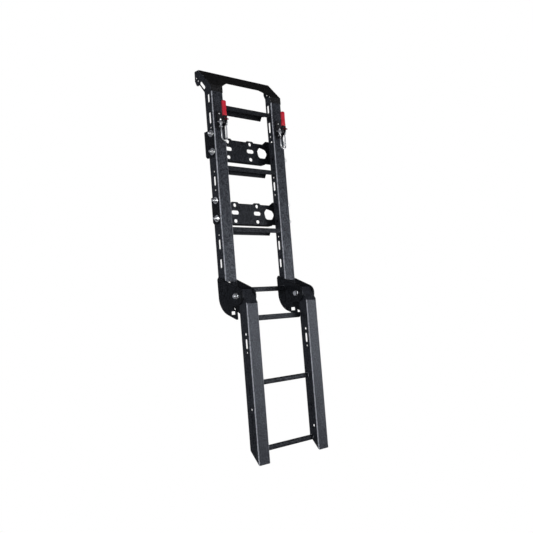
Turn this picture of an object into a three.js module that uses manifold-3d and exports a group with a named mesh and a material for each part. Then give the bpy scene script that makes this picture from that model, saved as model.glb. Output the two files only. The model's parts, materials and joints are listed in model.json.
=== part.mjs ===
// Folding rear-door ladder: an upper frame bolted to the door, and a lower
// ladder that folds up over it. Millimetres, +Z up, -Y towards the climber.
// Heights below are measured from the hinge axis; the whole ladder is then
// shifted so that the origin lies on the upper mounting plate's rear face.
import * as THREE from 'three';
import { mergeVertices } from 'three/addons/utils/BufferGeometryUtils.js';
import Module from 'manifold-3d';

const wasm = await Module();
wasm.setup();

// ---------- driving dimensions ----------
const GAP = 0.3;
const SHEET = 3;
const BEND_RADIUS = 5;

const RAIL_OUTER = 195.5;
const RAIL_WIDTH = 60;
const RAIL_INNER = RAIL_OUTER - RAIL_WIDTH;
const RAIL_CENTRE = RAIL_OUTER - RAIL_WIDTH / 2;
const OUTER_FLANGE_DEPTH = 45;
const INNER_FLANGE_DEPTH = 35;
const WEB_BOTTOM = 62;
const FLANGE_BOTTOM = 24;
const HEAD_SEAM = 843;

const STEP_TOPS = [794, 540, 286];
const STEP_DEPTH = 52;
const STEP_FRONT_LIP = 20;
const STEP_REAR_LIP = 25;
const STEP_LIP_INSET = 12;
const STEP_LIP_CHAMFER = 11;
const TIE_BAR_TOP = 37;
const TIE_BAR_HEIGHT = 19;
const TIE_BAR_DEPTH = 36;

const SLOT_LINE = 22;
const SLOT_WIDTH = 11;

const PIVOT_Y = -66;
const HINGE_PLATE = 6;
const PIVOT_BOLT_RADIUS = 6;
const PIVOT_BOLT_FLATS = 19;
const PIVOT_BOLT_HEAD = 10;
const PIVOT_BOLT_REACH = 16;
const BUSH_RADIUS = 9.2;

const LOWER_FRONT = -116;
const LOWER_REAR = -71;
const LOWER_BOTTOM = -651.5;
const LOWER_REAR_BOTTOM = -597;
const LOWER_BEND = -34;
const LOWER_CAP_TOP = 25;
const LOWER_SIDE_PLAY = 0.5;
const LOWER_SLOT_LINE = -96;

const BOLT_CLEARANCE = 0.5;
const BRACKET_BOLT_RADIUS = 5;
const BRACKET_BOLT_FLATS = 17;
const BRACKET_BOLT_HEAD = 6;
const BRACKET_BOLT_REACH = 17;
const LATCH_PIVOT = { y: -12, z: 695 };
const BAIL_AXIS = { y: -25, z: 709 };

// ---------- finishes ----------
const finish = (colour, roughness, metalness) =>
  () => new THREE.MeshStandardMaterial({ color: colour, roughness, metalness });
const powderCoat = finish(0x232427, 0.72, 0.1);
const darkCoat = finish(0x1b1c1f, 0.75, 0.1);
const zinc = finish(0xc9ccd0, 0.3, 1);
const redGrip = finish(0xd21f2b, 0.45, 0);
const redPlastic = finish(0x5c1a20, 0.5, 0);
const blackSteel = finish(0x17181a, 0.5, 0.4);

// ---------- outlines ----------
// corners are [x, y, radius]; each corner with a radius becomes a true arc
function outline(corners, segments = 3) {
  const points = [];
  corners.forEach(([x, y, radius = 0], i) => {
    const corner = new THREE.Vector2(x, y);
    const before = corners[(i + corners.length - 1) % corners.length];
    const after = corners[(i + 1) % corners.length];
    if (radius === 0) {
      points.push(corner);
      return;
    }
    const toBefore = new THREE.Vector2(before[0], before[1]).sub(corner).normalize();
    const toAfter = new THREE.Vector2(after[0], after[1]).sub(corner).normalize();
    const half = Math.acos(THREE.MathUtils.clamp(toBefore.dot(toAfter), -1, 1)) / 2;
    const reach = radius / Math.tan(half);
    const inward = toBefore.clone().add(toAfter).normalize();
    const centre = corner.clone().addScaledVector(inward, radius / Math.sin(half));
    const start = corner.clone().addScaledVector(toBefore, reach).sub(centre).angle();
    const end = corner.clone().addScaledVector(toAfter, reach).sub(centre).angle();
    let sweep = end - start;
    sweep -= Math.round(sweep / (2 * Math.PI)) * 2 * Math.PI;
    for (let k = 0; k <= segments; k += 1) {
      const angle = start + (sweep * k) / segments;
      points.push(new THREE.Vector2(Math.cos(angle), Math.sin(angle)).multiplyScalar(radius).add(centre));
    }
  });
  return new THREE.Shape(points);
}

// a slot with round ends from one end centre to the other
function slot(x0, y0, x1, y1, width, segments = 4) {
  const radius = width / 2;
  const along = Math.atan2(y1 - y0, x1 - x0);
  const points = [];
  for (const [cx, cy, first] of [[x1, y1, along - Math.PI / 2], [x0, y0, along + Math.PI / 2]]) {
    for (let k = 0; k <= segments; k += 1) {
      const angle = first + (Math.PI * k) / segments;
      points.push(new THREE.Vector2(cx + radius * Math.cos(angle), cy + radius * Math.sin(angle)));
    }
  }
  return new THREE.Shape(points);
}

function disc(x, y, radius, sides = 16) {
  const points = [];
  for (let k = 0; k < sides; k += 1) {
    const angle = (2 * Math.PI * (k + 0.5)) / sides;
    points.push(new THREE.Vector2(x + radius * Math.cos(angle), y + radius * Math.sin(angle)));
  }
  return new THREE.Shape(points);
}

const box = (x0, y0, x1, y1, radius = 0, segments = 3) =>
  outline([[x0, y0, radius], [x1, y0, radius], [x1, y1, radius], [x0, y1, radius]], segments);

// ---------- solids ----------
function toSolid(geometry) {
  const bare = geometry.clone();
  bare.deleteAttribute('normal');
  bare.deleteAttribute('uv');
  const merged = mergeVertices(bare, 1e-4);
  return new wasm.Manifold(new wasm.Mesh({
    numProp: 3,
    vertProperties: new Float32Array(merged.attributes.position.array),
    triVerts: new Uint32Array(merged.index.array),
  }));
}

function toGeometry(solid) {
  const mesh = solid.getMesh();
  const geometry = new THREE.BufferGeometry();
  geometry.setAttribute('position', new THREE.BufferAttribute(new Float32Array(mesh.vertProperties), 3));
  geometry.setIndex(new THREE.BufferAttribute(new Uint32Array(mesh.triVerts), 1));
  const faceted = geometry.toNonIndexed();
  faceted.computeVertexNormals();
  return faceted;
}

const X = new THREE.Vector3(1, 0, 0);
const Y = new THREE.Vector3(0, 1, 0);
const Z = new THREE.Vector3(0, 0, 1);

function extrude(shape, length, basis, origin) {
  const geometry = new THREE.ExtrudeGeometry(shape, { depth: length, bevelEnabled: false, curveSegments: 6 });
  geometry.applyMatrix4(basis);
  geometry.translate(origin.x, origin.y, origin.z);
  return toSolid(geometry);
}

// outlines drawn in (Y, Z), (X, Z) and (X, Y), swept along the third axis
const alongX = (shape, x0, x1) =>
  extrude(shape, x1 - x0, new THREE.Matrix4().makeBasis(Y, Z, X), new THREE.Vector3(x0, 0, 0));
const alongY = (shape, y0, y1) =>
  extrude(shape, y1 - y0, new THREE.Matrix4().makeBasis(X, Z, Y.clone().negate()), new THREE.Vector3(0, y1, 0));
const alongZ = (shape, z0, z1) =>
  extrude(shape, z1 - z0, new THREE.Matrix4().makeBasis(X, Y, Z), new THREE.Vector3(0, 0, z0));

const join = (first, ...rest) => rest.reduce((solid, piece) => solid.add(piece), first);
const cut = (first, ...rest) => rest.reduce((solid, piece) => solid.subtract(piece), first);

// a plate across X, given by its two faces on the left or right side
function sideways(shape, side, inner, outer) {
  return alongX(shape, Math.min(side * inner, side * outer), Math.max(side * inner, side * outer));
}

const ladder = new THREE.Group();
const lower = new THREE.Group();
ladder.add(lower);

function part(name, solid, material, parent = ladder) {
  const mesh = new THREE.Mesh(toGeometry(solid), material());
  mesh.name = name;
  parent.add(mesh);
  return mesh;
}

const SIDES = [['left', -1], ['right', 1]];

// ---------- upper rails ----------
const BRACKET_BOLTS = [
  { y: 18, z: 669 },
  { y: 18, z: 594 },
  { y: 20, z: 394 },
  { y: 20, z: 320 },
];

// openings down the rail flanges: slots as [z0, z1], small round holes as z
const RAIL_SLOTS = [[800, 835], [712, 759], [455, 494], [195, 235], [119, 156]];
const RAIL_HOLES = [695, 513, 437, 253];
const RAIL_SMALL_HOLE = 3.5;

// above the seam the flanges stand back behind the head plate
const HEAD_BEND = 871;
const HEAD_TOP = 951;
const HEAD_REACH = 70;
const behindHead = SHEET + GAP;

function railFlange(depth, corners) {
  return outline([
    [0, FLANGE_BOTTOM + 14, 0], [10, FLANGE_BOTTOM, 0], [depth, FLANGE_BOTTOM, 3], ...corners,
    [behindHead, HEAD_BEND - 2, 0], [behindHead, HEAD_SEAM, 0], [0, HEAD_SEAM, 0],
  ]);
}

// the outer flange runs on past the web and back over the door's edge
const CHEEK = [
  [OUTER_FLANGE_DEPTH, 849, 12], [74, 888, 6], [92, 887, 9],
  [103, 911, 4], [102, 953, 4], [76, 953, 0],
];
const CHEEK_SLOT = slot(64, 893, 45, 869, 13);
const CHEEK_HOLES = [disc(94, 923, RAIL_SMALL_HOLE, 10), disc(82, 908, RAIL_SMALL_HOLE, 10)];

function upperRail(side) {
  const x0 = Math.min(side * RAIL_INNER, side * RAIL_OUTER);
  const x1 = Math.max(side * RAIL_INNER, side * RAIL_OUTER);
  const envelope = alongZ(outline([
    [x0, 0, BEND_RADIUS], [x1, 0, BEND_RADIUS], [x1, 130, 0], [x0, 130, 0],
  ], 3), FLANGE_BOTTOM - 1, HEAD_TOP + 10);
  const web = alongX(box(0, WEB_BOTTOM, SHEET, HEAD_SEAM), x0, x1);
  const outer = sideways(railFlange(OUTER_FLANGE_DEPTH, CHEEK), side, RAIL_OUTER - SHEET, RAIL_OUTER);
  const innerFlange = railFlange(INNER_FLANGE_DEPTH, [[INNER_FLANGE_DEPTH, HEAD_BEND - 2, 6]]);
  const inner = sideways(innerFlange, side, RAIL_INNER, RAIL_INNER + SHEET);
  const tools = [
    ...RAIL_SLOTS.map(([z0, z1]) =>
      slot(SLOT_LINE, z0 + SLOT_WIDTH / 2, SLOT_LINE, z1 - SLOT_WIDTH / 2, SLOT_WIDTH)),
    ...RAIL_HOLES.map((z) => disc(SLOT_LINE, z, RAIL_SMALL_HOLE, 10)),
    ...BRACKET_BOLTS.map(({ y, z }) => disc(y, z, BRACKET_BOLT_RADIUS + BOLT_CLEARANCE)),
    CHEEK_SLOT,
    ...CHEEK_HOLES,
  ].map((shape) => alongX(shape, x0 - 1, x1 + 1));
  return cut(join(web, outer, inner).intersect(envelope), ...tools);
}

for (const [name, side] of SIDES) {
  part(`${name}_upper_rail`, upperRail(side), powderCoat);
}

// ---------- head plate ----------
const OPENING_TOP = 897;
const OPENING_CORNER = 44;
const headSlope = Math.atan2(HEAD_TOP - HEAD_BEND, HEAD_REACH);
const acrossY = SHEET * Math.sin(headSlope);
const acrossZ = SHEET * Math.cos(headSlope);
const headSection = outline([
  [0, HEAD_SEAM + GAP, 0],
  [SHEET, HEAD_SEAM + GAP, 0],
  [SHEET, HEAD_BEND - SHEET * Math.tan((Math.PI / 2 - headSlope) / 2), 0],
  [HEAD_REACH + acrossY, HEAD_TOP - acrossZ, 0],
  [HEAD_REACH, HEAD_TOP, 0],
  [0, HEAD_BEND, 2],
]);
const headOpening = outline([
  [-RAIL_INNER, HEAD_SEAM - 5, 0],
  [RAIL_INNER, HEAD_SEAM - 5, 0],
  [RAIL_INNER, HEAD_BEND, 4],
  [RAIL_INNER - OPENING_CORNER, OPENING_TOP, 8],
  [OPENING_CORNER - RAIL_INNER, OPENING_TOP, 8],
  [-RAIL_INNER, HEAD_BEND, 4],
]);
part('head_plate', cut(
  alongX(headSection, -RAIL_OUTER, RAIL_OUTER),
  alongY(headOpening, -10, 110),
), darkCoat);

// ---------- steps between the upper rails ----------
function foldedStep({ top, y0, halfWidth, frontLip, rearLip, depth, lipInset, chamfer }) {
  const front = alongX(outline([
    [y0, top - frontLip, 0], [y0 + SHEET, top - frontLip, 0], [y0 + SHEET, top - SHEET, 0],
    [y0 + depth, top - SHEET, 0], [y0 + depth, top, 2], [y0, top, 2],
  ], 2), -halfWidth, halfWidth);
  const rear = alongY(outline([
    [-halfWidth + lipInset, top - SHEET, 0],
    [-halfWidth + lipInset + chamfer, top - rearLip, 0],
    [halfWidth - lipInset - chamfer, top - rearLip, 0],
    [halfWidth - lipInset, top - SHEET, 0],
  ]), y0 + depth - SHEET, y0 + depth);
  return join(front, rear);
}

STEP_TOPS.forEach((top, i) => {
  const step = foldedStep({
    top,
    y0: SHEET + GAP,
    halfWidth: RAIL_INNER - GAP,
    frontLip: STEP_FRONT_LIP,
    rearLip: STEP_REAR_LIP,
    depth: STEP_DEPTH,
    lipInset: STEP_LIP_INSET,
    chamfer: STEP_LIP_CHAMFER,
  });
  part(`step_${i + 1}`, step, powderCoat);
});

const TIE_HALF = RAIL_INNER - GAP - HINGE_PLATE - GAP;
part('hinge_tie_bar', foldedStep({
  top: TIE_BAR_TOP,
  y0: 0,
  halfWidth: TIE_HALF,
  frontLip: TIE_BAR_HEIGHT,
  rearLip: TIE_BAR_HEIGHT,
  depth: TIE_BAR_DEPTH,
  lipInset: 0,
  chamfer: 2,
}), powderCoat);

// ---------- mounting plates ----------
const ARM_INNER = RAIL_OUTER + GAP;
const ARM_OUTER = ARM_INNER + SHEET;

const PLATE_HEIGHT = 90;
const PLATE_LIP = 26;
const HOLE_COLUMNS = [-75, 48.5];
const TOP_HOLE = { rise: 82, radius: 8 };
const MIDDLE_SLOT = { rise: 51, length: 40, width: 17 };
const BOTTOM_SLOT = { rise: 15, length: 19, width: 15 };

// the large window, as [x, height above the middle slots, radius]
const WINDOW = [
  [89, 6, 8], [103, 23, 9], [137, 15, 12], [148, -2, 12], [134, -24, 14], [96, -24, 14],
];

function mountingPlate({ face, bottom, armBottom, armTop, bolts }) {
  const top = bottom + PLATE_HEIGHT;
  const ear = (x) => [[x - 22, top, 0], [x - 15, top + 6, 0], [x + 15, top + 6, 0], [x + 22, top, 0]];
  const plate = alongY(outline([
    [-ARM_OUTER, armBottom + 10, 0], [-RAIL_INNER - 6, bottom, 4], [RAIL_INNER + 6, bottom, 4],
    [ARM_OUTER, armBottom + 10, 0], [ARM_OUTER, armTop, 0], [RAIL_INNER + 8, armTop, 4],
    [RAIL_INNER - 12, top, 4], ...ear(HOLE_COLUMNS[1]).reverse(), ...ear(HOLE_COLUMNS[0]).reverse(),
    [12 - RAIL_INNER, top, 4], [-RAIL_INNER - 8, armTop, 4], [-ARM_OUTER, armTop, 0],
  ]), face - SHEET, face);
  const lip = alongX(
    box(face - SHEET, bottom, face + PLATE_LIP, bottom + SHEET), -RAIL_INNER + 4, RAIL_INNER - 4);
  const arms = SIDES.map(([, side]) => sideways(outline([
    [8, armBottom + 8, 3], [16, armBottom, 3], [face - 12, armBottom, 4], [face, armBottom + 12, 0],
    [face, armTop, 0], [8, armTop, 5],
  ]), side, ARM_INNER, ARM_OUTER));
  const across = (x, { rise, length, width }) =>
    slot(x - (length - width) / 2, bottom + rise, x + (length - width) / 2, bottom + rise, width);
  const holes = [
    ...HOLE_COLUMNS.flatMap((x) => [
      disc(x, bottom + TOP_HOLE.rise, TOP_HOLE.radius),
      across(x, MIDDLE_SLOT),
      across(x, BOTTOM_SLOT),
    ]),
    outline(WINDOW.map(([x, rise, radius]) => [x, bottom + MIDDLE_SLOT.rise + rise, radius]), 4),
  ].map((shape) => alongY(shape, face - 10, face + 10));
  const boltHoles = bolts.map(({ y, z }) =>
    alongX(disc(y, z, BRACKET_BOLT_RADIUS + BOLT_CLEARANCE), -ARM_OUTER - 1, ARM_OUTER + 1));
  return cut(join(plate, lip, ...arms), ...holes, ...boltHoles);
}

const UPPER_PLATE = {
  face: 66, bottom: 579, armBottom: 572, armTop: 684, bolts: BRACKET_BOLTS.slice(0, 2),
};
const LOWER_PLATE = {
  face: 52, bottom: 304, armBottom: 298, armTop: 408, bolts: BRACKET_BOLTS.slice(2),
};
part('upper_mounting_plate', mountingPlate(UPPER_PLATE), powderCoat);
part('lower_mounting_plate', mountingPlate(LOWER_PLATE), powderCoat);

// ---------- bolts ----------
const hexagon = (u, v, acrossFlats) => disc(u, v, acrossFlats / Math.sqrt(3), 6);

// the head's inner face is at headInner and the shank ends at end, both from the middle of the ladder
function boltSolid({ y, z, side, headInner, flats, head, radius, end }) {
  return join(
    sideways(hexagon(y, z, flats), side, headInner, headInner + head),
    sideways(disc(y, z, radius), side, headInner + head, end),
  );
}

function nutSolid({ y, z, side, seat, flats, washer, washerRadius, height, radius }) {
  return cut(
    join(
      sideways(disc(y, z, washerRadius, 20), side, seat, seat + washer),
      sideways(hexagon(y, z, flats), side, seat + washer, seat + washer + height),
    ),
    sideways(disc(y, z, radius + 0.4), side, seat - 1, seat + washer + height + 1),
  );
}

for (const [name, side] of SIDES) {
  BRACKET_BOLTS.forEach(({ y, z }, i) => {
    const seat = ARM_OUTER + GAP;
    part(`${name}_bracket_bolt_${i + 1}`, boltSolid({
      y,
      z,
      side,
      headInner: RAIL_OUTER - SHEET - GAP - BRACKET_BOLT_HEAD,
      flats: BRACKET_BOLT_FLATS,
      head: BRACKET_BOLT_HEAD,
      radius: BRACKET_BOLT_RADIUS,
      end: seat + BRACKET_BOLT_REACH,
    }), zinc);
    part(`${name}_bracket_nut_${i + 1}`, nutSolid({
      y,
      z,
      side,
      seat,
      flats: BRACKET_BOLT_FLATS,
      washer: 2.5,
      washerRadius: 14,
      height: 8.5,
      radius: BRACKET_BOLT_RADIUS,
    }), zinc);
  });
}

// ---------- hinge plates and pivots ----------
const hingeOutline = outline([
  [38, 84, 2], [46, 75, 4], [44, -50, 80], [-60, -94, 4], [-60, -52, 1.5], [-42, -52, 3], [-42, -36, 3],
  [-102, -36, 34], [-102, 22, 34],
], 6);
const hingeSlot = box(-50, -71, -23, -58, 2, 2);
const innerFaces = [RAIL_INNER - GAP - HINGE_PLATE, RAIL_INNER - GAP];
const outerFaces = [RAIL_OUTER + GAP, RAIL_OUTER + GAP + HINGE_PLATE];

for (const [name, side] of SIDES) {
  for (const [place, faces] of [['inner', innerFaces], ['outer', outerFaces]]) {
    part(`${name}_${place}_hinge_plate`, cut(
      sideways(hingeOutline, side, ...faces),
      sideways(hingeSlot, side, faces[0] - 1, faces[1] + 1),
      sideways(disc(PIVOT_Y, 0, PIVOT_BOLT_RADIUS + 0.4), side, faces[0] - 1, faces[1] + 1),
    ), powderCoat);
  }
  part(`${name}_pivot_bolt`, boltSolid({
    y: PIVOT_Y,
    z: 0,
    side,
    headInner: innerFaces[0] - GAP - PIVOT_BOLT_HEAD,
    flats: PIVOT_BOLT_FLATS,
    head: PIVOT_BOLT_HEAD,
    radius: PIVOT_BOLT_RADIUS,
    end: outerFaces[1] + PIVOT_BOLT_REACH,
  }), zinc);
  part(`${name}_pivot_nut`, nutSolid({
    y: PIVOT_Y,
    z: 0,
    side,
    seat: outerFaces[1] + GAP,
    flats: PIVOT_BOLT_FLATS,
    washer: 2.5,
    washerRadius: 12,
    height: 9.5,
    radius: PIVOT_BOLT_RADIUS,
  }), zinc);
  part(`${name}_pivot_bush`, cut(
    sideways(disc(PIVOT_Y, 0, BUSH_RADIUS), side, innerFaces[1] + GAP, outerFaces[0] - GAP),
    sideways(disc(PIVOT_Y, 0, PIVOT_BOLT_RADIUS + 0.4), side, innerFaces[1], outerFaces[0]),
  ), zinc);
}

// ---------- latches on the rail fronts ----------
const LEG_SPACING = 27;
const WIRE_RADIUS = 3;
const BAIL_TOP = 724;
const BAIL_BEND = 648;
const BAIL_NUT = 5;
const BAIL_NUT_FLATS = 10;
const CROSSHEAD_HALF = 5.5;
const LATCH_PIN_RADIUS = 3;
const latchPinHole = disc(LATCH_PIVOT.y, LATCH_PIVOT.z, LATCH_PIN_RADIUS + GAP, 12);

function latchBase(x) {
  const ear = outline([
    [-GAP, LATCH_PIVOT.z - 12, 0], [-GAP, LATCH_PIVOT.z + 16, 0], [-6, LATCH_PIVOT.z + 8, 0],
    [LATCH_PIVOT.y - 8, LATCH_PIVOT.z + 8, 7.9], [LATCH_PIVOT.y - 8, LATCH_PIVOT.z - 8, 7.9],
  ]);
  return join(
    alongX(box(-GAP - SHEET, LATCH_PIVOT.z - 12, -GAP, 762), x - 14, x + 14),
    alongX(ear, x - 10.3, x - 8.3),
    alongX(ear, x + 8.3, x + 10.3),
  );
}

function latchHandle(x) {
  const cheek = outline([
    [-5.5, LATCH_PIVOT.z - 6, 5], [-16, LATCH_PIVOT.z - 6, 5], [-33, 701, 4], [-41.5, 713, 4],
    [-41.5, 733, 1], [-30.5, 733, 1], [-30.5, 724, 2], [-18, 717, 3], [-5.5, LATCH_PIVOT.z + 7, 4],
  ]);
  const cheeks = join(alongX(cheek, x - 8, x - 5.9), alongX(cheek, x + 5.9, x + 8));
  const bridge = alongX(box(-41.5, 729, -30.5, 733, 1), x - 8, x + 8);
  const tang = alongX(box(-37.5, 731, -34.5, 791), x - 7, x + 7);
  return cut(join(cheeks, bridge, tang),
    alongX(latchPinHole, x - 12, x + 12),
    alongX(disc(BAIL_AXIS.y, BAIL_AXIS.z, 3.8, 12), x - 12, x + 12));
}

function latchGrip(x) {
  return cut(
    alongZ(box(x - 10, -42.5, x + 10, -29.5, 5, 4), 734, 797),
    alongX(box(-37.8, 733, -34.2, 791.3), x - 7.3, x + 7.3),
  );
}

function latchCrosshead(x) {
  const square = box(
    BAIL_AXIS.y - CROSSHEAD_HALF, BAIL_AXIS.z - CROSSHEAD_HALF,
    BAIL_AXIS.y + CROSSHEAD_HALF, BAIL_AXIS.z + CROSSHEAD_HALF, 1.5, 2);
  const legHoles = [-1, 1].map((end) =>
    alongZ(disc(x + (end * LEG_SPACING) / 2, BAIL_AXIS.y, WIRE_RADIUS + GAP, 12), 700, 720));
  return cut(join(
    alongX(square, x - 18.5, x - 8.6),
    alongX(square, x + 8.6, x + 18.5),
    alongX(disc(BAIL_AXIS.y, BAIL_AXIS.z, 3.5, 12), x - 9, x + 9),
  ), ...legHoles);
}

// the bail is one bent rod with a nut above and below the crosshead on each leg
function latchBail(x) {
  const half = LEG_SPACING / 2;
  const at = (dx, z) => new THREE.Vector3(x + dx, BAIL_AXIS.y, z);
  const control = BAIL_BEND - (half * 4) / 3;
  const curve = new THREE.CubicBezierCurve3(
    at(-half, BAIL_BEND), at(-half, control), at(half, control), at(half, BAIL_BEND));
  const rod = rodAlong([at(-half, BAIL_TOP), ...curve.getPoints(8), at(half, BAIL_TOP)], WIRE_RADIUS, 10);
  const nuts = [-half, half].flatMap((dx) => [-1, 1].map((end) => {
    const near = BAIL_AXIS.z + end * (CROSSHEAD_HALF + GAP);
    const far = near + end * BAIL_NUT;
    return alongZ(hexagon(x + dx, BAIL_AXIS.y, BAIL_NUT_FLATS), Math.min(near, far), Math.max(near, far));
  }));
  return join(rod, ...nuts);
}

// a round rod through points that all lie in one XZ plane, each section on the mitre
function rodAlong(points, radius, sides) {
  const positions = [];
  points.forEach((point, i) => {
    const steps = [points[i - 1], point, points[i + 1]].filter(Boolean);
    const heading = new THREE.Vector3();
    for (let k = 1; k < steps.length; k += 1) {
      heading.add(steps[k].clone().sub(steps[k - 1]).normalize());
    }
    const across = new THREE.Vector3().crossVectors(heading, Y).normalize();
    for (let k = 0; k < sides; k += 1) {
      const angle = (2 * Math.PI * k) / sides;
      positions.push(point.clone()
        .addScaledVector(across, radius * Math.cos(angle))
        .addScaledVector(Y, radius * Math.sin(angle)));
    }
  });
  const index = [];
  for (let i = 0; i < points.length - 1; i += 1) {
    for (let k = 0; k < sides; k += 1) {
      const a = i * sides + k;
      const b = i * sides + ((k + 1) % sides);
      index.push(a, a + sides, b, b, a + sides, b + sides);
    }
  }
  const last = (points.length - 1) * sides;
  for (let k = 1; k < sides - 1; k += 1) {
    index.push(0, k, k + 1);
    index.push(last, last + k + 1, last + k);
  }
  const geometry = new THREE.BufferGeometry().setFromPoints(positions);
  geometry.setIndex(index);
  return toSolid(geometry);
}

function latchCatch(x) {
  return cut(
    alongX(outline([
      [-32.5, 718.5, 3], [-40, 717, 0], [-53, 712, 2], [-56, 716, 2], [-42, 725, 2], [-32.5, 725.5, 3],
    ]), x - 4, x + 4),
    alongX(disc(-36, 721.5, 1.8, 10), x - 5, x + 5),
  );
}

function pin(x, y, z, radius, half, head) {
  return join(
    alongX(disc(y, z, radius, 12), x - half, x + half),
    alongX(disc(y, z, head, 12), x + half - 1, x + half),
    alongX(disc(y, z, head, 12), x - half, x - half + 1),
  );
}

for (const [name, side] of SIDES) {
  const x = side * RAIL_CENTRE;
  part(`${name}_latch_base`, cut(latchBase(x), alongX(latchPinHole, x - 12, x + 12)), blackSteel);
  part(`${name}_latch_handle`, latchHandle(x), blackSteel);
  part(`${name}_latch_grip`, latchGrip(x), redGrip);
  part(`${name}_latch_crosshead`, latchCrosshead(x), zinc);
  part(`${name}_latch_bail`, latchBail(x), zinc);
  part(`${name}_latch_catch`, latchCatch(x), redPlastic);
  part(`${name}_latch_pin`, pin(x, LATCH_PIVOT.y, LATCH_PIVOT.z, LATCH_PIN_RADIUS, 11.8, 4.5), zinc);
}

// ---------- lower ladder ----------
const LOWER_INNER = RAIL_INNER + LOWER_SIDE_PLAY;
const LOWER_OUTER = RAIL_OUTER - LOWER_SIDE_PLAY;
const LOWER_SLOTS = [[-208, -169], [-314, -275], [-385, -346], [-498, -460], [-570, -532]];
const LOWER_HOLE = -151;
const LOWER_SMALL_HOLE = -222;
const LOWER_HOLE_RADIUS = 5;
const CAP_BACK = 32;

// strips inside the flanges close the four lower slots; each leaves one round hole open
const STRIP = { thickness: 2, halfWidth: 10.5, bottom: -583, top: -262 };
const OUTER_HOLE = -440;
const INNER_HOLE = -553;

function lowerRail(side) {
  const x0 = Math.min(side * LOWER_INNER, side * LOWER_OUTER);
  const x1 = Math.max(side * LOWER_INNER, side * LOWER_OUTER);
  const capTop = LOWER_FRONT + CAP_BACK;
  const web = alongX(outline([
    [LOWER_FRONT, LOWER_BOTTOM, 0], [LOWER_FRONT, LOWER_BEND, 3], [capTop, LOWER_CAP_TOP, 0],
    [capTop + SHEET, LOWER_CAP_TOP - 1.5, 0], [LOWER_FRONT + SHEET, LOWER_BEND - 1, 3],
    [LOWER_FRONT + SHEET, LOWER_BOTTOM, 0],
  ]), x0, x1);
  const flange = outline([
    [LOWER_FRONT, LOWER_BOTTOM, 0], [LOWER_FRONT, LOWER_BEND, 0], [capTop, LOWER_CAP_TOP, 0],
    [PIVOT_Y + 20, LOWER_CAP_TOP, 16], [PIVOT_Y + 20, -18, 14], [LOWER_REAR, -32, 0],
    [LOWER_REAR, LOWER_REAR_BOTTOM, 4],
  ], 4);
  const envelope = alongZ(outline([
    [x0, LOWER_FRONT, BEND_RADIUS], [x1, LOWER_FRONT, BEND_RADIUS], [x1, 0, 0], [x0, 0, 0],
  ], 3), LOWER_BOTTOM - 1, LOWER_CAP_TOP + 1);
  const body = join(
    web,
    sideways(flange, side, LOWER_INNER, LOWER_INNER + SHEET),
    sideways(flange, side, LOWER_OUTER - SHEET, LOWER_OUTER),
  ).intersect(envelope);
  const strip = box(
    LOWER_SLOT_LINE - STRIP.halfWidth, STRIP.bottom, LOWER_SLOT_LINE + STRIP.halfWidth, STRIP.top);
  const innerStrip = [LOWER_INNER + SHEET, LOWER_INNER + SHEET + STRIP.thickness];
  const outerStrip = [LOWER_OUTER - SHEET - STRIP.thickness, LOWER_OUTER - SHEET];
  const hole = (z) => disc(LOWER_SLOT_LINE, z, LOWER_HOLE_RADIUS, 12);
  const tools = [
    ...LOWER_SLOTS.map(([z0, z1]) =>
      slot(LOWER_SLOT_LINE, z0 + SLOT_WIDTH / 2, LOWER_SLOT_LINE, z1 - SLOT_WIDTH / 2, SLOT_WIDTH)),
    hole(LOWER_HOLE),
    disc(LOWER_SLOT_LINE, LOWER_SMALL_HOLE, RAIL_SMALL_HOLE, 10),
    disc(PIVOT_Y, 0, BUSH_RADIUS + 0.4),
  ].map((shape) => alongX(shape, x0 - 1, x1 + 1));
  return cut(
    join(cut(body, ...tools), sideways(strip, side, ...innerStrip), sideways(strip, side, ...outerStrip)),
    sideways(hole(INNER_HOLE), side, LOWER_INNER - 1, LOWER_INNER + SHEET + STRIP.thickness + 1),
    sideways(hole(OUTER_HOLE), side, LOWER_OUTER - SHEET - STRIP.thickness - 1, LOWER_OUTER + 1),
  );
}

const KEEPER_TIP = -640;
const KEEPER_SHEET = 2.2;

function latchKeeper(x) {
  const back = LOWER_FRONT + SHEET + GAP;
  const front = back + KEEPER_SHEET;
  const tip = back + 15;
  const floor = KEEPER_TIP + 14;
  return alongX(outline([
    [back, floor + 16, 0], [back, KEEPER_TIP - 6, 0], [front, KEEPER_TIP - 6, 0],
    [front, floor, 2], [tip - SHEET, floor, 2], [tip - SHEET, KEEPER_TIP, 0],
    [tip, KEEPER_TIP, 0], [tip, floor + SHEET, 3], [front, floor + SHEET, 2], [front, floor + 16, 0],
  ], 2), x - 8, x + 8);
}

for (const [name, side] of SIDES) {
  part(`${name}_lower_rail`, lowerRail(side), powderCoat, lower);
}

const RUNG_HEIGHT = 19;
const RUNG_DEPTH = 18;
const RUNG_REAR = -72;
const RUNG_TOPS = [-335, -591];

part('rung_5', alongY(outline([
  [-RAIL_INNER - 3, -80, 2], [RAIL_INNER + 3, -80, 2], [RAIL_INNER + 3, -96, 0], [RAIL_INNER - 3, -102, 0],
  [3 - RAIL_INNER, -102, 0], [-RAIL_INNER - 3, -96, 0],
]), LOWER_REAR + GAP, -60 - GAP), powderCoat, lower);

RUNG_TOPS.forEach((top, i) => {
  const bar = (inset) => box(
    RUNG_REAR - RUNG_DEPTH + inset, top - RUNG_HEIGHT + inset, RUNG_REAR - inset, top - inset, 4 - inset, 3);
  const half = LOWER_INNER - GAP;
  const tube = cut(alongX(bar(0), -half, half), alongX(bar(2), -half - 1, half + 1));
  part(`rung_${i + 6}`, tube, powderCoat, lower);
});

for (const [name, side] of SIDES) {
  part(`${name}_latch_keeper`, latchKeeper(side * RAIL_CENTRE), blackSteel, lower);
}

// ---------- place the ladder so that the origin is on the upper mounting plate ----------
const MOUNT_HEIGHT = 622;
ladder.position.set(0, -UPPER_PLATE.face, -MOUNT_HEIGHT);

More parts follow.
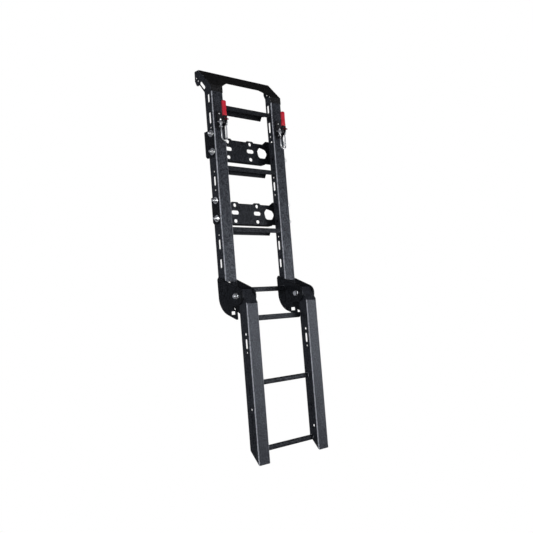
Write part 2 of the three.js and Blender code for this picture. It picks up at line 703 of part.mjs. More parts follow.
const group = new THREE.Group();
group.add(ladder);
group.updateMatrixWorld(true);
export default group;
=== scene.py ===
import json
import math
import random

import bmesh
import bpy
from mathutils import Matrix, Vector


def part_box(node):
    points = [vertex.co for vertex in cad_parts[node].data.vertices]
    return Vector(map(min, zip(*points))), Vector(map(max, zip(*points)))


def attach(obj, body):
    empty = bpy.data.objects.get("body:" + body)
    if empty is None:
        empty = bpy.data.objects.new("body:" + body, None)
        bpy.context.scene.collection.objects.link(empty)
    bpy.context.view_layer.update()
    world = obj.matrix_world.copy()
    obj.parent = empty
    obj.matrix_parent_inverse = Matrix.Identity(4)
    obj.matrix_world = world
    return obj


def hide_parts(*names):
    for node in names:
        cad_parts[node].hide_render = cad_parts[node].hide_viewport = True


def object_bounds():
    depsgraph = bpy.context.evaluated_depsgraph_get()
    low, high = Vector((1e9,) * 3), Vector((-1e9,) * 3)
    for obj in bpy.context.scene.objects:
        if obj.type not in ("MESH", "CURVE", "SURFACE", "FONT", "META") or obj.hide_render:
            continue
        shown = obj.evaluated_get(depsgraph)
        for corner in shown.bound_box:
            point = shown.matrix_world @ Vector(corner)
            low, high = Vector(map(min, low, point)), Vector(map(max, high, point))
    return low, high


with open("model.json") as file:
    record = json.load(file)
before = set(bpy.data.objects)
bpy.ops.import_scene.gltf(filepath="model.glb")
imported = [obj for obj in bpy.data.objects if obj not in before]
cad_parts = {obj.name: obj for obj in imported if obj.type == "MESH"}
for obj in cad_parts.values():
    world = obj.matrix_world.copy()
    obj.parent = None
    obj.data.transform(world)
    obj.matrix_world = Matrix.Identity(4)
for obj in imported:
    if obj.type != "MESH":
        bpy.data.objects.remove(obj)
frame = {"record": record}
cad_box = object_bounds()
record = frame["record"]
scene = bpy.context.scene

# ---------- the ladder's own millimetres ----------
# x across from the middle, y back from the front of the upper rails, z up from the hinge
MM = 0.001
hinge = next(j for j in record["behaviour"]["joints"] if j["name"] == "lower_fold")["pos_m"]
ORIGIN = Vector((0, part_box("left_upper_rail")[0].y, hinge[2]))
TO_FRAME = Matrix.Translation(ORIGIN) @ Matrix.Scale(MM, 4)


def cad(node):
    """A CAD node's box in the ladder's millimetres."""
    lo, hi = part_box(node)
    return (lo - ORIGIN) / MM, (hi - ORIGIN) / MM


SHEET = 3.0
RAIL_OUTER = -cad("left_upper_rail")[0].x
RAIL_INNER = -cad("left_upper_rail")[1].x
RAIL_CENTRE = (RAIL_OUTER + RAIL_INNER) / 2
PIVOT_Y = (hinge[1] - ORIGIN.y) / MM
SIDES = (("left", -1), ("right", 1))


# ---------- outlines ----------
def rounded(corners, segments=8):
    """An outline from (u, v, radius) corners, each radius a true arc."""
    points = []
    count = len(corners)
    for i, corner in enumerate(corners):
        here = Vector(corner[:2])
        radius = corner[2] if len(corner) > 2 else 0
        if radius == 0:
            points.append(here)
            continue
        before = (Vector(corners[i - 1][:2]) - here).normalized()
        after = (Vector(corners[(i + 1) % count][:2]) - here).normalized()
        half = math.acos(max(-1, min(1, before.dot(after)))) / 2
        reach = radius / math.tan(half)
        centre = here + (before + after).normalized() * radius / math.sin(half)
        start = here + before * reach - centre
        end = here + after * reach - centre
        a0 = math.atan2(start.y, start.x)
        sweep = math.atan2(end.y, end.x) - a0
        sweep -= round(sweep / math.tau) * math.tau
        for k in range(segments + 1):
            angle = a0 + sweep * k / segments
            points.append(centre + Vector((math.cos(angle), math.sin(angle))) * radius)
    return points


def circle(u, v, radius, sides=40):
    angles = [math.tau * k / sides for k in range(sides)]
    return [Vector((u + radius * math.cos(a), v + radius * math.sin(a))) for a in angles]


def slot(u0, v0, u1, v1, width, segments=12):
    """A slot with round ends from one end centre to the other."""
    along = math.atan2(v1 - v0, u1 - u0)
    points = []
    for u, v, first in ((u1, v1, along - math.pi / 2), (u0, v0, along + math.pi / 2)):
        for k in range(segments + 1):
            angle = first + math.pi * k / segments
            points.append(Vector((u + width / 2 * math.cos(angle), v + width / 2 * math.sin(angle))))
    return points


def box(u0, v0, u1, v1, radius=0, segments=6):
    return rounded([(u0, v0, radius), (u1, v0, radius), (u1, v1, radius), (u0, v1, radius)], segments)


def hexagon(u, v, flats, turn):
    """Turned by a fraction of one of its six sides."""
    radius = flats / math.sqrt(3)
    angles = [math.tau * (k + turn) / 6 for k in range(6)]
    return [Vector((u + radius * math.cos(a), v + radius * math.sin(a))) for a in angles]


# ---------- solids ----------
AXES = {
    "x": lambda u, v, w: Vector((w, u, v)),
    "y": lambda u, v, w: Vector((u, w, v)),
    "z": lambda u, v, w: Vector((u, v, w)),
}


def loft(rings):
    """A solid through rings of equally many points, capped at both ends."""
    bm = bmesh.new()
    layers = [[bm.verts.new(p) for p in ring] for ring in rings]
    count = len(layers[0])
    bm.faces.new(layers[0])
    bm.faces.new(layers[-1])
    for low, high in zip(layers, layers[1:]):
        for k in range(count):
            bm.faces.new((low[k], low[(k + 1) % count], high[(k + 1) % count], high[k]))
    bmesh.ops.recalc_face_normals(bm, faces=bm.faces)
    mesh = bpy.data.meshes.new("solid")
    bm.to_mesh(mesh)
    bm.free()
    return mesh


def prism(shape, axis, w0, w1):
    """An outline swept along an axis: (y, z) along x, (x, z) along y, (x, y) along z."""
    place = AXES[axis]
    return loft([[place(p[0], p[1], w) for p in shape] for w in (min(w0, w1), max(w0, w1))])


def lathe(profile, axis, u, v, sides=40):
    """(along, radius) pairs turned about an axis through (u, v)."""
    place = AXES[axis]
    return loft([
        [place(u + r * math.cos(math.tau * k / sides), v + r * math.sin(math.tau * k / sides), w)
         for k in range(sides)]
        for w, r in profile
    ])


def combine(first, rest, operation):
    """A boolean of the first mesh with each of the rest."""
    host = bpy.data.objects.new("host", first)
    scene.collection.objects.link(host)
    tools = []
    for mesh in rest:
        tool = bpy.data.objects.new("tool", mesh)
        scene.collection.objects.link(tool)
        tools.append(tool)
        modifier = host.modifiers.new("boolean", "BOOLEAN")
        modifier.operation = operation
        modifier.solver = "MANIFOLD"
        modifier.object = tool
    bpy.context.view_layer.update()
    result = bpy.data.meshes.new_from_object(host.evaluated_get(bpy.context.evaluated_depsgraph_get()))
    for obj in [host, *tools]:
        mesh = obj.data
        bpy.data.objects.remove(obj)
        bpy.data.meshes.remove(mesh)
    return result


def union(first, *rest):
    return combine(first, rest, "UNION")


def cut(first, *rest):
    return combine(first, rest, "DIFFERENCE")


def common(first, *rest):
    return combine(first, rest, "INTERSECT")


def merge(*meshes):
    """Several closed solids in one mesh, left as they are."""
    bm = bmesh.new()
    for mesh in meshes:
        bm.from_mesh(mesh)
        bpy.data.meshes.remove(mesh)
    mesh = bpy.data.meshes.new("solid")
    bm.to_mesh(mesh)
    bm.free()
    return mesh


MATERIALS = {}


def piece(name, mesh, body, material, nodes=(), edge=0.4, smooth=35, coat=None):
    """Puts a finished solid into the scene on its body, with its edges broken.

    A coat is a variant of its slot's finish."""
    bm = bmesh.new()
    bm.from_mesh(mesh)
    bmesh.ops.remove_doubles(bm, verts=bm.verts, dist=0.002)
    bmesh.ops.dissolve_limit(bm, angle_limit=math.radians(0.5), verts=bm.verts, edges=bm.edges)
    bmesh.ops.recalc_face_normals(bm, faces=bm.faces)
    for face in bm.faces:
        face.smooth = True
    bm.to_mesh(mesh)
    bm.free()
    mesh.name = name
    mesh.transform(TO_FRAME)
    mesh.set_sharp_from_angle(angle=math.radians(smooth))
    mesh.materials.clear()
    mesh.materials.append(MATERIALS[coat or material])
    obj = bpy.data.objects.new(name, mesh)
    scene.collection.objects.link(obj)
    if edge:
        bevel = obj.modifiers.new("edge", "BEVEL")
        bevel.width = edge * MM
        bevel.segments = 2
        bevel.limit_method = "ANGLE"
        bevel.angle_limit = math.radians(smooth)
        bevel.harden_normals = True
        bevel.use_clamp_overlap = True
        even = obj.modifiers.new("even_normals", "WEIGHTED_NORMAL")
        even.keep_sharp = True
    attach(obj, body)
    for node in nodes:
        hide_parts(node)


# ---------- surface finishes ----------
def finish_nodes(name):
    material = bpy.data.materials.new(name)
    material.use_nodes = True
    tree = material.node_tree
    return material, tree, tree.nodes["Principled BSDF"]


def noise(tree, scale, detail=2.0, roughness=0.5):
    coords = tree.nodes.get("Texture Coordinate") or tree.nodes.new("ShaderNodeTexCoord")
    texture = tree.nodes.new("ShaderNodeTexNoise")
    texture.inputs["Scale"].default_value = scale
    texture.inputs["Detail"].default_value = detail
    texture.inputs["Roughness"].default_value = roughness
    tree.links.new(coords.outputs["Object"], texture.inputs["Vector"])
    return texture.outputs["Fac"]


def ramp(tree, value, stops):
    node = tree.nodes.new("ShaderNodeValToRGB")
    while len(node.color_ramp.elements) < len(stops):
        node.color_ramp.elements.new(0.5)
    for element, (at, colour) in zip(node.color_ramp.elements, stops):
        element.position = at
        element.color = (*colour, 1) if len(colour) == 3 else (colour[0],) * 3 + (1,)
    tree.links.new(value, node.inputs["Fac"])
    return node.outputs["Color"]


def roughness_from(tree, shader, value, low, high, stops=(0.3, 0.7)):
    """Roughness low where the value is at the first stop, high where it is at the second."""
    level = ramp(tree, value, [(stops[0], (low,)), (stops[1], (high,))])
    tree.links.new(level, shader.inputs["Roughness"])


def bump(tree, shader, layers):
    """Bumps on top of each other, each (height, distance in metres, strength)."""
    normal = None
    for height, distance, strength in layers:
        node = tree.nodes.new("ShaderNodeBump")
        node.inputs["Distance"].default_value = distance
        node.inputs["Strength"].default_value = strength
        tree.links.new(height, node.inputs["Height"])
        if normal is not None:
            tree.links.new(normal, node.inputs["Normal"])
        normal = node.outputs["Normal"]
    tree.links.new(normal, shader.inputs["Normal"])


def math_node(tree, operation, *values):
    node = tree.nodes.new("ShaderNodeMath")
    node.operation = operation
    for socket, value in zip(node.inputs, values):
        if isinstance(value, float):
            socket.default_value = value
        else:
            tree.links.new(value, socket)
    return node.outputs[0]


def painted_fold_highlight(tree):
    """Painted highlight: one on the upright folds, where the surface faces between across and back, broken up
    by noise.
    """
    coords = tree.nodes.get("Texture Coordinate") or tree.nodes.new("ShaderNodeTexCoord")
    split = tree.nodes.new("ShaderNodeSeparateXYZ")
    tree.links.new(coords.outputs["Normal"], split.inputs[0])
    turned = math_node(tree, "ABSOLUTE", math_node(tree, "MULTIPLY", split.outputs["X"], split.outputs["Y"]))
    fold = ramp(tree, turned, [(0.12, (0.0,)), (0.38, (1.0,))])
    rubbed = ramp(tree, noise(tree, 160, 4, 0.6), [(0.35, (0.35,)), (0.6, (1.0,))])
    return math_node(tree, "MULTIPLY", fold, rubbed)


def rubs(tree):
    """Scattered small scuffs."""
    return ramp(tree, noise(tree, 75, 6, 0.7), [(0.64, (0.0,)), (0.76, (0.5,))])


def mix_colour(tree, factor, a, b):
    node = tree.nodes.new("ShaderNodeMix")
    node.data_type = "RGBA"
    tree.links.new(factor, node.inputs["Factor"])
    for socket, value in ((node.inputs[6], a), (node.inputs[7], b)):
        if isinstance(value, tuple):
            socket.default_value = (*value, 1)
        else:
            tree.links.new(value, socket)
    return node.outputs[2]


# Colour of the painted highlight on the upright folds.
FOLD_HIGHLIGHT_COLOUR = (0.62, 0.64, 0.70)


def powder_coat(name, dark, light, rough, sheen):
    """Textured powder coat: a fine orange peel, close grains and a broader mottle."""
    material, tree, shader = finish_nodes(name)
    fine = noise(tree, 1500, 2)
    grain = noise(tree, 700, 3, 0.6)
    mottle = noise(tree, 220, 3, 0.6)
    patch = noise(tree, 18, 3)
    speckle = ramp(tree, grain, [(0.38, dark), (0.66, light)])
    shade = speckle
    for value, stops in (
        (mottle, [(0.40, (0.35,)), (0.62, (1.0,))]),
        (patch, [(0.3, (0.75,)), (0.7, (1.0,))]),
    ):
        multiply = tree.nodes.new("ShaderNodeMix")
        multiply.data_type = "RGBA"
        multiply.blend_type = "MULTIPLY"
        multiply.inputs["Factor"].default_value = 1.0
        tree.links.new(shade, multiply.inputs[6])
        tree.links.new(ramp(tree, value, stops), multiply.inputs[7])
        shade = multiply.outputs[2]
    scuffed = mix_colour(tree, rubs(tree), shade, (0.075, 0.078, 0.086))
    # Painted highlight: the upright folds are painted lighter, broken up by noise.
    with_fold_highlight = mix_colour(tree, painted_fold_highlight(tree), scuffed, FOLD_HIGHLIGHT_COLOUR)
    tree.links.new(with_fold_highlight, shader.inputs["Base Color"])
    roughness_from(tree, shader, mottle, rough + 0.08, rough - 0.08, (0.35, 0.7))
    glint = ramp(tree, mottle, [(0.40, (0.25 * sheen,)), (0.60, (sheen,))])
    tree.links.new(glint, shader.inputs["Specular IOR Level"])
    shader.inputs["Specular Tint"].default_value = (0.80, 0.86, 1.0, 1)
    bump(tree, shader, [(mottle, 0.0016, 0.7), (grain, 0.0005, 0.6), (fine, 0.0002, 0.4)])
    return material


def plated(name, colour, tint, rough):
    """Bright zinc: faint brushing and a slightly bluish bloom."""
    material, tree, shader = finish_nodes(name)
    bloom = noise(tree, 90, 3)
    scratch = noise(tree, 2600, 2, 0.7)
    tree.links.new(ramp(tree, bloom, [(0.35, tint), (0.62, colour)]), shader.inputs["Base Color"])
    roughness_from(tree, shader, bloom, rough + 0.1, rough - 0.05)
    shader.inputs["Metallic"].default_value = 1.0
    bump(tree, shader, [(scratch, 0.00008, 0.35), (bloom, 0.0002, 0.2)])
    return material


def black_plated(name, dark, light, rough):
    """Pressed steel with a smooth black plating, rubbed lighter in small scuffs."""
    material, tree, shader = finish_nodes(name)
    cloud = noise(tree, 140, 3)
    fine = noise(tree, 3200, 2)
    body = ramp(tree, cloud, [(0.3, dark), (0.7, light)])
    rubbed = mix_colour(tree, rubs(tree), body, (0.14, 0.14, 0.145))
    tree.links.new(rubbed, shader.inputs["Base Color"])
    roughness_from(tree, shader, cloud, rough + 0.08, rough - 0.06)
    shader.inputs["Metallic"].default_value = 0.35
    bump(tree, shader, [(fine, 0.00008, 0.3)])
    return material


def vinyl(name, dark, light, rough):
    """Dipped or moulded plastic with a slight skin texture."""
    material, tree, shader = finish_nodes(name)
    cloud = noise(tree, 70, 3)
    skin = noise(tree, 1300, 2)
    tree.links.new(ramp(tree, cloud, [(0.3, dark), (0.7, light)]), shader.inputs["Base Color"])
    roughness_from(tree, shader, skin, rough + 0.08, rough - 0.05)
    shader.inputs["Subsurface Weight"].default_value = 0.05
    shader.inputs["Subsurface Radius"].default_value = (0.004, 0.001, 0.001)
    bump(tree, shader, [(skin, 0.0001, 0.3), (cloud, 0.0004, 0.15)])
    return material


MATERIALS.update({
    "powder_coat": powder_coat("powder_coat", (0.010, 0.011, 0.014), (0.080, 0.087, 0.106), 0.40, 0.75),
    # A darker copy of the powder coat with less sheen: painted shade on the steps, tie bar, brackets, hinge
    # plates and rungs.
    "powder_coat_shaded": powder_coat(
        "powder_coat_shaded", (0.007, 0.0075, 0.009), (0.034, 0.037, 0.045), 0.42, 0.38),
    "powder_coat_head": powder_coat(
        "powder_coat_head", (0.012, 0.011, 0.010), (0.034, 0.031, 0.029), 0.50, 0.4),
    "zinc": plated("zinc", (0.95, 0.955, 0.96), (0.84, 0.86, 0.89), 0.30),
    "black_steel": black_plated("black_steel", (0.012, 0.012, 0.014), (0.03, 0.03, 0.034), 0.36),
    "grip_red": vinyl("grip_red", (0.66, 0.010, 0.030), (0.82, 0.020, 0.050), 0.36),
    "catch_red": vinyl("catch_red", (0.11, 0.010, 0.016), (0.20, 0.018, 0.030), 0.30),
})


# ---------- small parts shared by several places ----------
def across(side, a, b):
    """The two x values on one side of the ladder, lower first."""
    return min(side * a, side * b), max(side * a, side * b)


def thread(axis, u, v, w0, w1, radius, pitch, sides=28, per_pitch=6):
    """A threaded rod with a rolled thread and a chamfer at its far end, w1."""
    place = AXES[axis]
    sense = 1 if w1 > w0 else -1
    length = abs(w1 - w0)
    count = max(2, round(length / pitch * per_pitch))
    depth = pitch * 0.54
    rings = []
    for i in range(count + 1):
        s = length * i / count
        chamfer = max(0.0, s - (length - depth)) if length > depth else 0.0
        ring = []
        for k in range(sides):
            phase = (s / pitch - k / sides) % 1.0
            groove = depth * min(1.0, max(0.0, abs(phase - 0.5) * 2.6 - 0.3))
            r = min(radius - depth + groove, radius - chamfer)
            angle = math.tau * k / sides
            ring.append(place(u + r * math.cos(angle), v + r * math.sin(angle), w0 + sense * s))
        rings.append(ring)
    return loft(rings)


def hex_solid(axis, u, v, w0, w1, flats, chamfer_low, chamfer_high, turn):
    """A hexagonal prism with its corners turned off at the chosen ends."""
    w0, w1 = min(w0, w1), max(w0, w1)
    corner = flats / math.sqrt(3)
    inner = flats / 2 * 0.97
    drop = (corner - inner) * math.tan(math.radians(30))
    profile = [(w0 - 0.01, inner if chamfer_low else corner + 1)]
    profile += [(w0 + drop, corner + 0.01)] if chamfer_low else []
    profile += [(w1 - drop, corner + 0.01)] if chamfer_high else []
    profile += [(w1 + 0.01, inner if chamfer_high else corner + 1)]
    return common(prism(hexagon(u, v, flats, turn), axis, w0, w1), lathe(profile, axis, u, v, 48))


def washer(axis, u, v, w0, w1, inner, outer):
    w0, w1 = min(w0, w1), max(w0, w1)
    soft = 0.35
    rim = [(w0, outer - soft), (w0 + soft, outer), (w1 - soft, outer), (w1, outer - soft)]
    disc = lathe(rim, axis, u, v, 56)
    return cut(disc, prism(circle(u, v, inner), axis, w0 - 1, w1 + 1))


def weld(name, start, end, radius, body, seed):
    """A bead of overlapping ripples along a line, under the coat."""
    start, end = Vector(start), Vector(end)
    along = (end - start).normalized()
    side = along.orthogonal().normalized()
    up = along.cross(side)
    length = (end - start).length
    rng = random.Random(seed)
    pitch = radius * 0.75
    steps = max(8, round(length / pitch * 5))
    rings = []
    for i in range(steps + 1):
        s = length * i / steps
        ripple = abs(math.sin(math.pi * s / pitch))
        end_taper = min(1.0, min(s, length - s) / radius + 0.25)
        r = radius * (0.82 + 0.18 * ripple) * end_taper * rng.uniform(0.97, 1.03)
        rings.append([start + along * s + (side * math.cos(a) + up * math.sin(a)) * r
                      for a in (math.tau * k / 12 for k in range(12))])
    piece(name, loft(rings), body, "powder_coat", edge=0, smooth=60)


# ---------- upper rails ----------
OUTER_DEPTH = 45.0
INNER_DEPTH = 35.0
WEB_BOTTOM = 62.0
FLANGE_BOTTOM = cad("left_upper_rail")[0].z
HEAD_SEAM = 843.0
HEAD_BEND = 871.0
HEAD_TOP = cad("head_plate")[1].z
HEAD_REACH = 70.0
BEHIND_HEAD = 3.4
SLOT_LINE = 22.0
SLOT_WIDTH = 11.0
RAIL_SLOTS = ((800, 835), (712, 759), (455, 494), (195, 235), (119, 156))
RAIL_HOLES = (695, 513, 437, 253)
SMALL_HOLE = 3.5
BOLT_HOLE = 5.5
CHEEK_SLOT = (64, 893, 45, 869, 13)
CHEEK_HOLES = ((94, 923), (82, 908))
OUTER_BEND = 4.6
INNER_BEND = 2.0


def channel(x0, x1, y_front, y_back, z0, z1):
    """A folded channel open to the back, with its bend radii, swept up z."""
    return prism(rounded([
        (x0, y_back), (x0, y_front, OUTER_BEND), (x1, y_front, OUTER_BEND), (x1, y_back),
        (x1 - SHEET, y_back), (x1 - SHEET, y_front + SHEET, INNER_BEND),
        (x0 + SHEET, y_front + SHEET, INNER_BEND), (x0 + SHEET, y_back),
    ], 8), "z", z0, z1)


def slots_and_holes(slots, holes, line, x0, x1):
    tools = [prism(slot(line, a + SLOT_WIDTH / 2, line, b - SLOT_WIDTH / 2, SLOT_WIDTH), "x", x0, x1)
             for a, b in slots]
    return tools + [prism(circle(line, z, SMALL_HOLE, 28), "x", x0, x1) for z in holes]


def rail_side(depth, corners):
    return rounded([
        (-1, FLANGE_BOTTOM + 15), (0, FLANGE_BOTTOM + 14), (10, FLANGE_BOTTOM), (depth, FLANGE_BOTTOM, 3),
        *corners,
        (BEHIND_HEAD, HEAD_BEND - 2), (BEHIND_HEAD, HEAD_SEAM), (-1, HEAD_SEAM),
    ], 10)


CHEEK = (
    (OUTER_DEPTH, 849, 12), (74, 888, 6), (92, 887, 9), (103, 911, 4), (102, 953, 4), (76, 953),
)

for name, side in SIDES:
    x0, x1 = across(side, RAIL_INNER, RAIL_OUTER)
    outer_half = prism(rail_side(OUTER_DEPTH, CHEEK), "x", *across(side, RAIL_CENTRE, RAIL_OUTER + 1))
    inner_shape = rail_side(INNER_DEPTH, ((INNER_DEPTH, HEAD_BEND - 2, 6),))
    inner_half = prism(inner_shape, "x", *across(side, RAIL_INNER - 1, RAIL_CENTRE))
    body = common(channel(x0, x1, 0, 130, FLANGE_BOTTOM - 5, HEAD_TOP + 10), union(outer_half, inner_half))
    foot = prism(rounded([
        (x0 + SHEET, FLANGE_BOTTOM - 10), (x0 + SHEET, WEB_BOTTOM, 5), (x1 - SHEET, WEB_BOTTOM, 5),
        (x1 - SHEET, FLANGE_BOTTOM - 10),
    ], 6), "y", -2, SHEET + 2.5)
    bolt_holes = []
    for i in (1, 2, 3, 4):
        lo, hi = cad(f"{name}_bracket_bolt_{i}")
        centre = ((lo.y + hi.y) / 2, (lo.z + hi.z) / 2)
        bolt_holes.append(prism(circle(*centre, BOLT_HOLE), "x", x0 - 2, x1 + 2))
    body = cut(
        body, foot, *bolt_holes,
        *slots_and_holes(RAIL_SLOTS, RAIL_HOLES, SLOT_LINE, x0 - 2, x1 + 2),
        prism(slot(*CHEEK_SLOT), "x", x0 - 2, x1 + 2),
        *[prism(circle(*place, SMALL_HOLE, 28), "x", x0 - 2, x1 + 2) for place in CHEEK_HOLES],
    )
    piece(f"{name}_rail", body, "frame", "powder_coat", [f"{name}_upper_rail"])
    seam = prism(box(x0 + 6, HEAD_SEAM - 0.6, x1 - 6, HEAD_SEAM + 0.9, 0.5), "y", -0.7, SHEET - 0.4)
    piece(f"{name}_rail_seam", seam, "frame", "powder_coat", edge=0)

# ---------- head plate ----------
slope = math.atan2(HEAD_TOP - HEAD_BEND, HEAD_REACH)
head_profile = rounded([
    (0, HEAD_SEAM + 0.3), (SHEET, HEAD_SEAM + 0.3),
    (SHEET, HEAD_BEND - SHEET * math.tan((math.pi / 2 - slope) / 2), 2),
    (HEAD_REACH + SHEET * math.sin(slope), HEAD_TOP - SHEET * math.cos(slope)),
    (HEAD_REACH, HEAD_TOP), (0, HEAD_BEND, 5),
], 8)
opening = rounded([
    (-RAIL_INNER, HEAD_SEAM - 8), (RAIL_INNER, HEAD_SEAM - 8), (RAIL_INNER, HEAD_BEND, 6),
    (RAIL_INNER - 44, 897, 10), (44 - RAIL_INNER, 897, 10), (-RAIL_INNER, HEAD_BEND, 6),
], 8)
head = cut(prism(head_profile, "x", -RAIL_OUTER, RAIL_OUTER), prism(opening, "y", -10, 110))
piece("head", head, "frame", "powder_coat_head", ["head_plate"], edge=0.5)


# ---------- steps ----------
def folded(top, y0, depth, front, back, radius=3.6):
    """A flat top with a lip folded down at each edge, for the steps and the tie bar."""
    inner = radius - SHEET + 0.6
    return rounded([
        (y0, top - front), (y0, top, radius), (y0 + depth, top, radius), (y0 + depth, top - back),
        (y0 + depth - SHEET, top - back), (y0 + depth - SHEET, top - SHEET, inner),
        (y0 + SHEET, top - SHEET, inner), (y0 + SHEET, top - front),
    ], 6)


STEP_FRONT_LIP = 20
LIP_INSET = 12
LIP_CHAMFER = 11

for i in (1, 2, 3):
    lo, hi = cad(f"step_{i}")
    body = prism(folded(hi.z, lo.y, hi.y - lo.y, STEP_FRONT_LIP, hi.z - lo.z), "x", lo.x, hi.x)
    ends = []
    for side in (-1, 1):
        lip = hi.x - LIP_INSET
        ends.append(prism(rounded([
            (side * (lip - LIP_CHAMFER), lo.z - 2),
            (side * lip, hi.z - SHEET - 0.5), (side * lip, hi.z - SHEET),
            (side * (hi.x + 2), hi.z - SHEET), (side * (hi.x + 2), lo.z - 2),
        ]), "y", hi.y - SHEET - 4, hi.y + 2))
    # Darker coat: painted shade on the steps.
    piece(f"step_{i}_fold", cut(body, *ends), "frame", "powder_coat", [f"step_{i}"],
          coat="powder_coat_shaded")
    for name, side in SIDES:
        x = side * (hi.x - 0.6)
        under = hi.z - SHEET - 0.8
        weld(f"step_{i}_weld_{name}", (x, lo.y + 4, under), (x, lo.y + 30, under), 1.8, "frame",
             10 * i + side)
        behind = lo.y + SHEET + 0.6
        weld(f"step_{i}_lip_weld_{name}", (x, behind, hi.z - 17), (x, behind, hi.z - 5), 1.5, "frame",
             20 * i + side)

lo, hi = cad("hinge_tie_bar")
# Darker coat: painted shade on the tie bar.
piece("tie_bar", prism(folded(hi.z, lo.y, hi.y - lo.y, hi.z - lo.z, hi.z - lo.z), "x", lo.x, hi.x),
      "frame", "powder_coat", ["hinge_tie_bar"], coat="powder_coat_shaded")
for name, side in SIDES:
    x = side * (hi.x - 0.6)
    behind = lo.y + SHEET + 0.6
    weld(f"tie_bar_weld_{name}", (x, behind, lo.z + 2), (x, behind, hi.z - 4), 1.6, "frame", 91)
    weld(f"tie_bar_top_weld_{name}", (x, lo.y + 4, hi.z + 0.2), (x, hi.y - 4, hi.z + 0.2), 1.6, "frame", 92)

# ---------- mounting plates ----------
PLATE_LIP = 26.0
PLATE_HEIGHT = 90
MIDDLE_SLOTS = 51
HOLE_COLUMNS = (-75, 48.5)
WINDOW = ((89, 6, 8), (103, 23, 9), (137, 15, 12), (148, -2, 12), (134, -24, 14), (96, -24, 14))


def ear(x, top):
    """The low tab above a column of holes."""
    return [(x + 22, top), (x + 15, top + 6, 3), (x - 15, top + 6, 3), (x - 22, top)]


for name, arm_top, arm_bottom, bottom, bolts in (
    ("upper", 684, 572, 579, (1, 2)),
    ("lower", 408, 298, 304, (3, 4)),
):
    lo, hi = cad(f"{name}_mounting_plate")
    face = hi.y - PLATE_LIP
    top = bottom + PLATE_HEIGHT
    arm = hi.x
    tray = prism(rounded([
        (-arm, 8), (-arm, face, 4.5), (arm, face, 4.5), (arm, 8), (arm - SHEET, 8),
        (arm - SHEET, face - SHEET, 1.8), (SHEET - arm, face - SHEET, 1.8), (SHEET - arm, 8),
    ], 8), "z", arm_bottom - 5, arm_top + 5)
    front = rounded([
        (-arm - 1, arm_bottom - 1), (-arm + 3, arm_bottom), (-RAIL_INNER - 6, bottom, 4),
        (RAIL_INNER + 6, bottom, 4), (arm - 3, arm_bottom), (arm + 1, arm_bottom - 1),
        (arm + 1, arm_top), (RAIL_INNER + 8, arm_top, 4), (RAIL_INNER - 12, top, 6),
        *ear(HOLE_COLUMNS[1], top), *ear(HOLE_COLUMNS[0], top),
        (12 - RAIL_INNER, top, 6), (-RAIL_INNER - 8, arm_top, 4), (-arm - 1, arm_top),
    ], 6)
    profile = rounded([
        (8, arm_bottom + 8, 3), (16, arm_bottom, 3), (face - 12, arm_bottom, 4), (face + 2, arm_bottom + 14),
        (face + 2, arm_top), (8, arm_top, 5),
    ], 8)
    lip_end = RAIL_INNER - 4
    lip = prism(rounded([
        (face - SHEET, bottom + 14), (face - SHEET, bottom, 4.4), (face + PLATE_LIP, bottom, 0),
        (face + PLATE_LIP, bottom + SHEET), (face, bottom + SHEET, 1.6), (face, bottom + 14),
    ], 8), "x", -lip_end, lip_end)
    corner = prism(box(face - SHEET - 0.5, bottom - 1, face + 0.01, bottom + 4), "x", -lip_end, lip_end)
    tray = common(tray, prism(front, "y", 0, face + 2), prism(profile, "x", -arm - 2, arm + 2))
    body = union(cut(tray, corner), lip)
    tools = []
    for x in HOLE_COLUMNS:
        middle = bottom + MIDDLE_SLOTS
        for shape in (circle(x, bottom + 82, 8), slot(x - 11.5, middle, x + 11.5, middle, 17),
                      slot(x - 2, bottom + 15, x + 2, bottom + 15, 15)):
            tools.append(prism(shape, "y", face - 10, face + 5))
    window = rounded([(x, bottom + MIDDLE_SLOTS + rise, r) for x, rise, r in WINDOW], 10)
    tools.append(prism(window, "y", face - 10, face + 5))
    for i in bolts:
        for rail, side in SIDES:
            blo, bhi = cad(f"{rail}_bracket_bolt_{i}")
            centre = ((blo.y + bhi.y) / 2, (blo.z + bhi.z) / 2)
            tools.append(prism(circle(*centre, BOLT_HOLE), "x", *across(side, arm - 8, arm + 2)))
    # Darker coat: painted shade on the brackets.
    piece(f"{name}_bracket", cut(body, *tools), "frame", "powder_coat", [f"{name}_mounting_plate"],
          coat="powder_coat_shaded")


# ---------- bracket bolts, washers and nuts ----------
def locknut(y, z, rim, nut_end, side, flats, turn, collar_height, radii, bore):
    """A hexagon with a round collar at its outer end, bored for its bolt."""
    collar = nut_end - side * collar_height
    foot, shoulder, lip = radii
    profile = sorted([(collar - side * 0.2, foot), (nut_end - side * 0.8, shoulder), (nut_end, lip)])
    return cut(
        union(
            hex_solid("x", y, z, rim, collar, flats, False, False, turn),
            lathe(profile, "x", y, z),
        ),
        prism(circle(y, z, bore), "x", rim - 3, collar + side * 9),
    )


